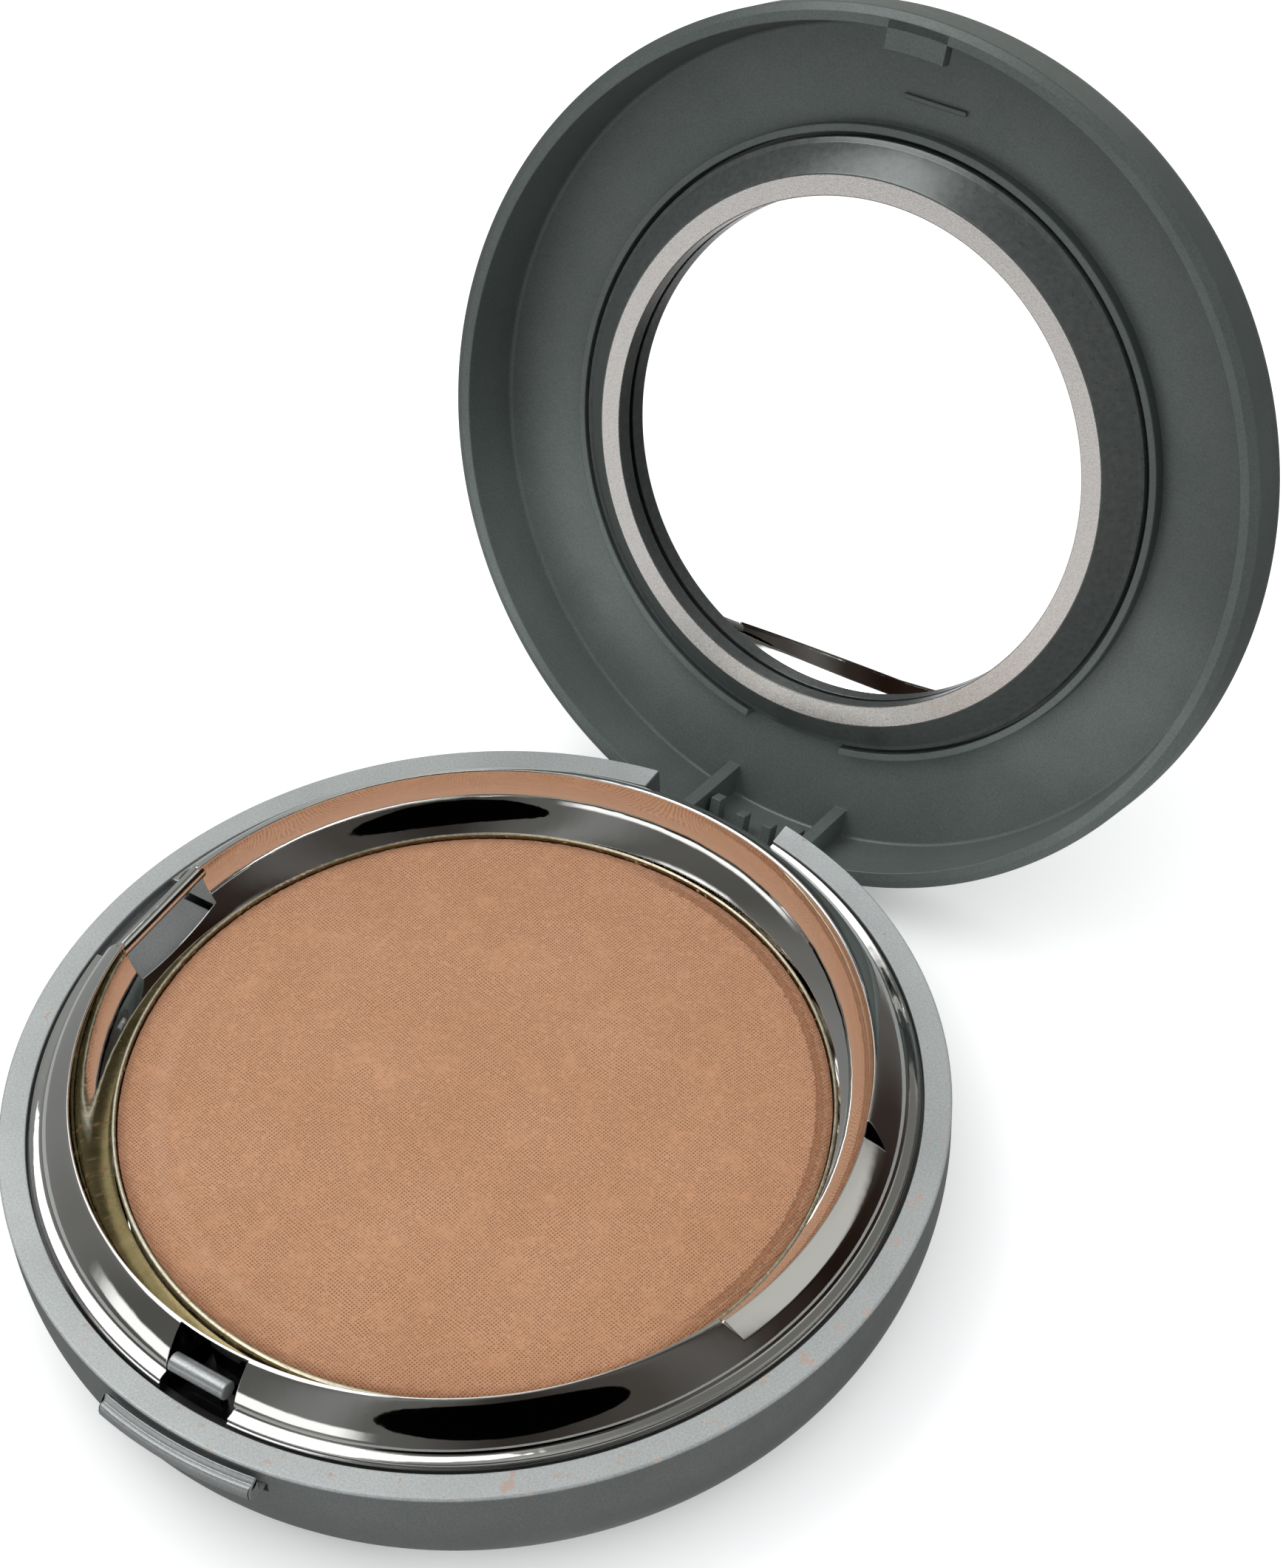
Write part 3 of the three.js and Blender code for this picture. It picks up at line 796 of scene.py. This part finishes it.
centre = bm.verts.new((0, 0, powder_z(0, 0)))
rings = []
for i in range(1, RINGS + 1):
    r = R_P * (1 - (1 - i / RINGS) ** 1.6)
    rings.append(
        [
            bm.verts.new(
                (
                    r * math.cos(2 * math.pi * k / SEGS),
                    r * math.sin(2 * math.pi * k / SEGS),
                    powder_z(
                        r * math.cos(2 * math.pi * k / SEGS),
                        r * math.sin(2 * math.pi * k / SEGS),
                    ),
                )
            )
            for k in range(SEGS)
        ]
    )
low = [
    bm.verts.new((R_P * math.cos(2 * math.pi * k / SEGS), R_P * math.sin(2 * math.pi * k / SEGS), -3.0))
    for k in range(SEGS)
]
floor_v = bm.verts.new((0, 0, -3.0))
for k in range(SEGS):
    j = (k + 1) % SEGS
    bm.faces.new((centre, rings[0][k], rings[0][j]))
    bm.faces.new((floor_v, low[j], low[k]))
    bm.faces.new((rings[-1][k], low[k], low[j], rings[-1][j]))
for a, b in zip(rings, rings[1:]):
    for k in range(SEGS):
        j = (k + 1) % SEGS
        bm.faces.new((a[k], b[k], b[j], a[j]))
cake = new_object("cake", bm)
settle(cake, TILT, 50)
remap_copy(cake, "powder", "base", ["powder_cake"], powder())

# ---------------------------------------------------------------- button
A0, A1 = -90 - 10.75, -90 + 10.75


def loft(name, prof, a0, a1, n=40, square=None):
    """Part-turned closed profile between two azimuths, with flat ends at x = +-square."""
    bm = bmesh.new()
    cols = []
    for i in range(n + 1):
        ang = math.radians(a0 + (a1 - a0) * i / n)
        col = []
        for r, z in prof:
            x, y = r * math.cos(ang), r * math.sin(ang)
            if square and i in (0, n):
                x = -square if i == 0 else square
                y = -math.sqrt(r * r - x * x)
            col.append(bm.verts.new((x, y, z)))
        cols.append(col)
    m = len(prof)
    for a, b in zip(cols, cols[1:]):
        for k in range(m):
            j = (k + 1) % m
            bm.faces.new((a[k], b[k], b[j], a[j]))
    bm.faces.new(cols[0])
    bm.faces.new(cols[-1][::-1])
    bmesh.ops.recalc_face_normals(bm, faces=bm.faces[:])
    es = [e for e in bm.edges if e.calc_face_angle(0) > math.radians(50)]
    bmesh.ops.bevel(bm, geom=es, offset=0.18, segments=3, profile=0.5, affect="EDGES")
    return new_object(name, bm)


lip_prof = fillets(
    [
        (38.95, -2.4),
        (39.8, -2.35, 0.2),
        (40.3, -2.1, 0.3),
        (40.6, -1.75, 0.3),
        (40.62, -1.2, 0.3),
        (40.5, -0.85, 0.15),
        (40.3, -0.7, 0.12),
        (40.1, -0.7, 0.1),
        (39.93, -0.74, 0.1),
        (39.78, -0.56, 0.1),
        (39.64, -0.34, 0.1),
        (39.5, -0.22, 0.05),
        (39.45, -0.5),
        (39.45, -1.75),
        (38.95, -1.75),
    ],
    4,
)
lip = loft("lip", lip_prof, A0, A1, 40, 7.3)
stem = loft("stem", [(34.9, -2.35), (39.3, -2.35), (39.3, -1.75), (34.9, -1.75)], A0, A1, 24, 7.3)
boolean(lip, stem, "UNION")
boolean(lip, box("plate", -3.4, 3.4, -35.4, -33.1, -2.35, -1.75), "UNION")
boolean(lip, box("post", -2.5, 0.5, -34.6, -33.9, -2.0, 1.5), "UNION")
bar_o = cylinder("bar", "x", 0.8, -3.66, 1.66, -34.65, 1.5, 64, 0.12)
boolean(lip, bar_o, "UNION")
boolean(lip, box("tongue", -2.4, 2.4, -34.3, -33.1, 3.0 - H, -2.0), "UNION")
boolean(lip, box("tongue2", -2.4, 2.4, -34.3, -31.35, 3.0 - H, 5.4 - H), "UNION")
settle(lip, BASE, 40)
remap_copy(lip, "front_button", "button", ["push_button"], M_BUTTON)

# ---------------------------------------------------------------- lid
prof = (
    [(0, 6.09), (20, 6.09)]
    + fillets(
        [(20, 6.09), (36.78, 6.09, 0.35), (37.42, 0.15, 0.1), (38.25, 0.15, 0.06), (39.0, 0.62, 0.25), (39.0, 2.4)],
        4,
    )[1:]
    + [(36 + 3 * math.cos(math.radians(t)), 4.52 + 3 * math.sin(math.radians(t))) for t in range(0, 91, 5)]
    + [(31, 7.62), (26, 7.74), (19, 7.84), (13, 7.9), (6, 7.94), (0, 7.95)]
)
prof = [prof[0]] + densify(prof[1:-1], 1.2) + [prof[-1]]
lid = lathe("lid", prof, 384)
rib = lathe("rib", fillets([(27.65, 6.5), (27.7, 4.8), (27.7, 4.65, 0.12), (28.35, 4.65, 0.12), (28.38, 4.8), (28.4, 6.5)], 3), 256, closed=True)
boolean(rib, sector_tool("gap", 80, 100, 40, 4, 7))
boolean(lid, rib, "UNION")
tab = lathe("tab", [(35.73, 0.15), (38.2, 0.15), (38.2, 1.35), (35.7, 1.35), (35.7, 0.19)], 256, closed=True)
boolean(tab, box("t", -3.1, 2.45, -40, -30, -1, 4), "INTERSECT")
boolean(lid, tab, "UNION")
boolean(lid, box("floor_rib", -3.0, 3.0, -31.2, -30.8, 5.72, 6.4, 0.08, 2), "UNION")
leaf = lathe("leaf", [(37.35, HZ - 0.2), (38.3, HZ - 0.2), (38.75, HZ + 1.2), (38.85, 0.6), (37.35, 0.6)], 384, closed=True)
boolean(leaf, box("t", -6.3, 6.3, 30, 42, -10, 3), "INTERSECT")
boolean(lid, leaf, "UNION")
knuckle = [
    (HY + 1.75 * math.cos(math.radians(-180 + 9 * i)), HZ + 1.75 * math.sin(math.radians(-180 + 9 * i)))
    for i in range(21)
]
ear = knuckle + [(38.0, -1.2), (38.0, 3.0), (37.0, 6.5), (33.6, 6.5), (33.6, 6.09), (34.65, 0.4), (35.0, -2.0)]
for x0, x1 in ((-6.3, -5.1), (5.1, 6.3)):
    boolean(lid, prism("ear", ear, x0, x1, "x", 0.0), "UNION")
for x in (-4.15, -1.4, 1.4, 4.15):
    boolean(
        lid,
        box("rib", x - 0.5, x + 0.5, 34.75 if abs(x) > 2 else 35.3, 37.9, 0.35, 1.7, 0.12, 2),
        "UNION",
    )
boolean(lid, cylinder("bore", "x", 0.8, -10, 10, HY, HZ))
settle(lid, LID, 32)
remap_copy(lid, "lid_case", "lid", ["lid_shell"], M_LID)

prof = fillets(
    [
        (24.2, 5.75),
        (24.2, 4.3),
        (22.6, 4.1, 0.05),
        (22.6, 2.3, 0.1),
        (24.5, 2.3, 0.28),
        (26.85, 4.4, 0.3),
        (27.3, 4.62, 0.1),
        (27.3, 5.75),
        (25.5, 5.75),
    ],
    6,
)
mframe = lathe("mframe", prof, 512, closed=True)
mframe.data.materials.append(frame_chrome())
mframe.data.materials.append(frame_satin())
for p in mframe.data.polygons:
    c = p.center
    if c.z < 2.325 and 22.66 < math.hypot(c.x, c.y) < 24.33:
        p.material_index = 1
settle(mframe, LID, 40)
remap_copy(mframe, "round_mirror_frame", "lid", ["mirror_frame"])

glass = lathe("glass", densify(fillets([(0, 4.4), (23.9, 4.4, 0.12), (23.9, 5.6, 0.05), (0, 5.6)], 3), 3.0), 256)
settle(glass, LID, 30)
remap_copy(glass, "round_mirror", "lid", ["mirror_glass"], mirror_mat())

# ---------------------------------------------------------------- small parts
for node, mat in {
    "hinge_pin": plain("pin_steel", (0.62, 0.63, 0.64), 0.3, 1.0, 6.0),
    "button_spring": plain("spring_steel", (0.55, 0.56, 0.57), 0.3, 1.0, 8.0),
    "pan_adhesive_pad": plain("foam_pad", (0.80, 0.78, 0.72), 0.85, 0.0, 4.0, 0.5),
    "mirror_tape": plain("foam_tape", (0.78, 0.76, 0.70), 0.85, 0.0, 4.0, 0.5),
    "base_label": plain("blank_label", (0.60, 0.60, 0.58), 0.45, 0.0, 1.2, 0.05),
}.items():
    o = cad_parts[node]
    o.data.materials.clear()
    o.data.materials.append(mat)

# ---------------------------------------------------------------- stage
bpy.ops.mesh.primitive_plane_add(size=6, location=(0, 0, 0))
floor = bpy.context.object
floor.name = "floor"
fm = Mat("pale_floor").set(rough=0.75, spec=0.25)
fm.out(fm.mix(fm.noise(0.01, 3, 0.5), (0.90, 0.905, 0.91), (0.925, 0.93, 0.93)), "Base Color")
fm.bsdf.inputs["Emission Color"].default_value = (1.0, 1.0, 1.0, 1)
fm.bsdf.inputs["Emission Strength"].default_value = 0.22  # a light table from below
floor.data.materials.append(fm.m)
floor.visible_glossy = False

# Dark shape seen only in reflections: what stands behind the camera.
CAM = Vector((111.49, -131.49, 209.95 + H)) * MM
aim = Vector((0, 0, H * MM))
da, de = math.radians(-52), math.radians(27)
d = Vector((math.cos(de) * math.cos(da), math.cos(de) * math.sin(da), math.sin(de)))
bm = bmesh.new()
ring_v = []
side = Vector((-d.y, d.x, 0)).normalized()
up = d.cross(side)
for k in range(64):
    t = 2 * math.pi * k / 64
    cx, cy = math.cos(t), math.sin(t)
    ring_v.append(bm.verts.new(aim + d * 0.40 + side * (0.185 * cx) + up * (0.155 * cy)))
bm.faces.new(ring_v)
card = new_object("dark_card", bm)
cm = bpy.data.materials.new("dark_card")
cm.use_nodes = True
cb = cm.node_tree.nodes["Principled BSDF"]
cb.inputs["Base Color"].default_value = (0.0006, 0.0004, 0.0004, 1)
cb.inputs["Roughness"].default_value = 1.0
cb.inputs["Specular IOR Level"].default_value = 0.0
card.data.materials.append(cm)
card.visible_camera = False
card.visible_diffuse = False
card.visible_shadow = False
card.visible_transmission = False

# World: a bright tent, dark on the side the camera looks in from.
w = bpy.data.worlds.new("tent")
sc.world = w
w.use_nodes = True
nt = w.node_tree
bg = nt.nodes["Background"]
tc = nt.nodes.new("ShaderNodeTexCoord")
sep = nt.nodes.new("ShaderNodeSeparateXYZ")
nt.links.new(tc.outputs["Generated"], sep.inputs[0])


def wmath(op, a, b=None, clamp=False):
    m = nt.nodes.new("ShaderNodeMath")
    m.operation = op
    m.use_clamp = clamp
    for i, x in enumerate((a, b)):
        if x is None:
            continue
        if isinstance(x, (int, float)):
            m.inputs[i].default_value = x
        else:
            nt.links.new(x, m.inputs[i])
    return m.outputs[0]


def wband(x, lo, hi):
    m = nt.nodes.new("ShaderNodeMapRange")
    m.interpolation_type = "SMOOTHSTEP"
    m.inputs["From Min"].default_value = lo
    m.inputs["From Max"].default_value = hi
    nt.links.new(x, m.inputs["Value"])
    return m.outputs["Result"]


def wmix(fac, a, b):
    m = nt.nodes.new("ShaderNodeMix")
    m.data_type = "RGBA"
    for s, x in ((m.inputs[0], fac), (m.inputs[6], a), (m.inputs[7], b)):
        if isinstance(x, (int, float)):
            s.default_value = x
        elif isinstance(x, tuple):
            s.default_value = (*x, 1)
        else:
            nt.links.new(x, s)
    return m.outputs[2]


X, Y, Z = sep.outputs
azim = wmath("ADD", wmath("DIVIDE", wmath("ARCTAN2", Y, X), 2 * math.pi), 0.5)
ramp = nt.nodes.new("ShaderNodeValToRGB")
ramp.color_ramp.interpolation = "EASE"
ROOM = [  # what stands round the table at eye height, by azimuth in degrees
    (-180, (0.20, 0.205, 0.20)),
    (-160, (0.15, 0.15, 0.145)),
    (-138, (0.085, 0.085, 0.08)),
    (-112, (0.10, 0.10, 0.095)),
    (-92, (0.20, 0.205, 0.20)),
    (-80, (0.11, 0.11, 0.105)),
    (-50, (0.03, 0.027, 0.024)),
    (-22, (0.06, 0.055, 0.05)),
    (-5, (0.10, 0.095, 0.09)),
    (12, (0.03, 0.022, 0.018)),
    (28, (0.014, 0.008, 0.006)),
    (44, (0.02, 0.013, 0.010)),
    (60, (0.035, 0.026, 0.022)),
    (80, (0.10, 0.095, 0.09)),
    (100, (0.52, 0.53, 0.50)),
    (125, (0.50, 0.51, 0.48)),
    (148, (0.27, 0.28, 0.27)),
    (180, (0.20, 0.205, 0.20)),
]
els = ramp.color_ramp.elements
while len(els) < len(ROOM):
    els.new(0.5)
for el_, (az_, c_) in zip(els, ROOM):
    el_.position = (az_ + 180) / 360
    el_.color = (*c_, 1)
nt.links.new(azim, ramp.inputs["Fac"])
room = ramp.outputs["Color"]
# bright wall low down in front, which the mirror looks at
front = wmath("MULTIPLY", wband(azim, (180 - 152) / 360, (180 - 140) / 360), wmath("SUBTRACT", 1.0, wband(azim, (180 - 88) / 360, (180 - 78) / 360)))
front = wmath("MULTIPLY", front, wmath("SUBTRACT", wband(Z, -0.16, -0.11), wband(Z, 0.13, 0.19)))
sky = wmix(front, room, (1.15, 1.16, 1.16))
# the far side higher up, lighter towards the right
far_high = wmath("MULTIPLY", wband(Z, 0.66, 0.75), wband(Y, 0.05, 0.35))
sky = wmix(far_high, sky, wmix(wband(X, -0.02, 0.24), (0.15, 0.152, 0.145), (0.52, 0.52, 0.49)))
# soft box overhead, to the left and front
BOX = Vector((-0.434, -0.243, 0.868)).normalized()
dot = wmath("ADD", wmath("ADD", wmath("MULTIPLY", X, BOX.x), wmath("MULTIPLY", Y, BOX.y)), wmath("MULTIPLY", Z, BOX.z))
sky = wmix(wband(dot, math.cos(math.radians(21)), math.cos(math.radians(11))), sky, (3.0, 3.02, 3.03))
# diffuse light comes evenly from all round, as in a light tent
lp = nt.nodes.new("ShaderNodeLightPath")
sky = wmix(lp.outputs["Is Diffuse Ray"], sky, (1.12, 1.13, 1.135))
sky = wmix(lp.outputs["Is Camera Ray"], sky, (1.1, 1.1, 1.1))
nt.links.new(sky, bg.inputs["Color"])
bg.inputs["Strength"].default_value = 1.0


def area(name, loc, target, size, power, size_y=None):
    ld = bpy.data.lights.new(name, "AREA")
    ld.shape = "RECTANGLE" if size_y else "SQUARE"
    ld.size = size
    if size_y:
        ld.size_y = size_y
    ld.energy = power
    o = bpy.data.objects.new(name, ld)
    sc.collection.objects.link(o)
    o.location = loc
    o.rotation_euler = (Vector(target) - Vector(loc)).to_track_quat("-Z", "Y").to_euler()
    return o


area("key", (-0.34, 0.10, 0.62), (0, 0.02, 0.01), 0.42, 0.8)

# ---------------------------------------------------------------- camera
cam = bpy.data.cameras.new("camera")
cam.sensor_fit = "VERTICAL"
cam.sensor_height = 36.0
cam.sensor_width = 36.0
cam.lens = 4461.34 * 36.0 / 2121.0
cam.clip_start = 0.005
cam.clip_end = 20
co = bpy.data.objects.new("camera", cam)
sc.collection.objects.link(co)
sc.camera = co
right = Vector((0.8392659974480966, 0.5421787648806523, -0.04092398367634267))
down = Vector((0.3642716537371379, -0.6165577904625218, -0.6979703813942131))
fwd = Vector((-0.40365672026000254, 0.5708753611187498, -0.7149563443011572))
m = Matrix.Identity(4)
for i in range(3):
    m[i][0] = right[i]
    m[i][1] = -down[i]
    m[i][2] = -fwd[i]
    m[i][3] = CAM[i]
co.matrix_world = m

sc.view_settings.view_transform = "Standard"
sc.view_settings.look = "None"
sc.view_settings.exposure = 0.0

bpy.context.view_layer.update()
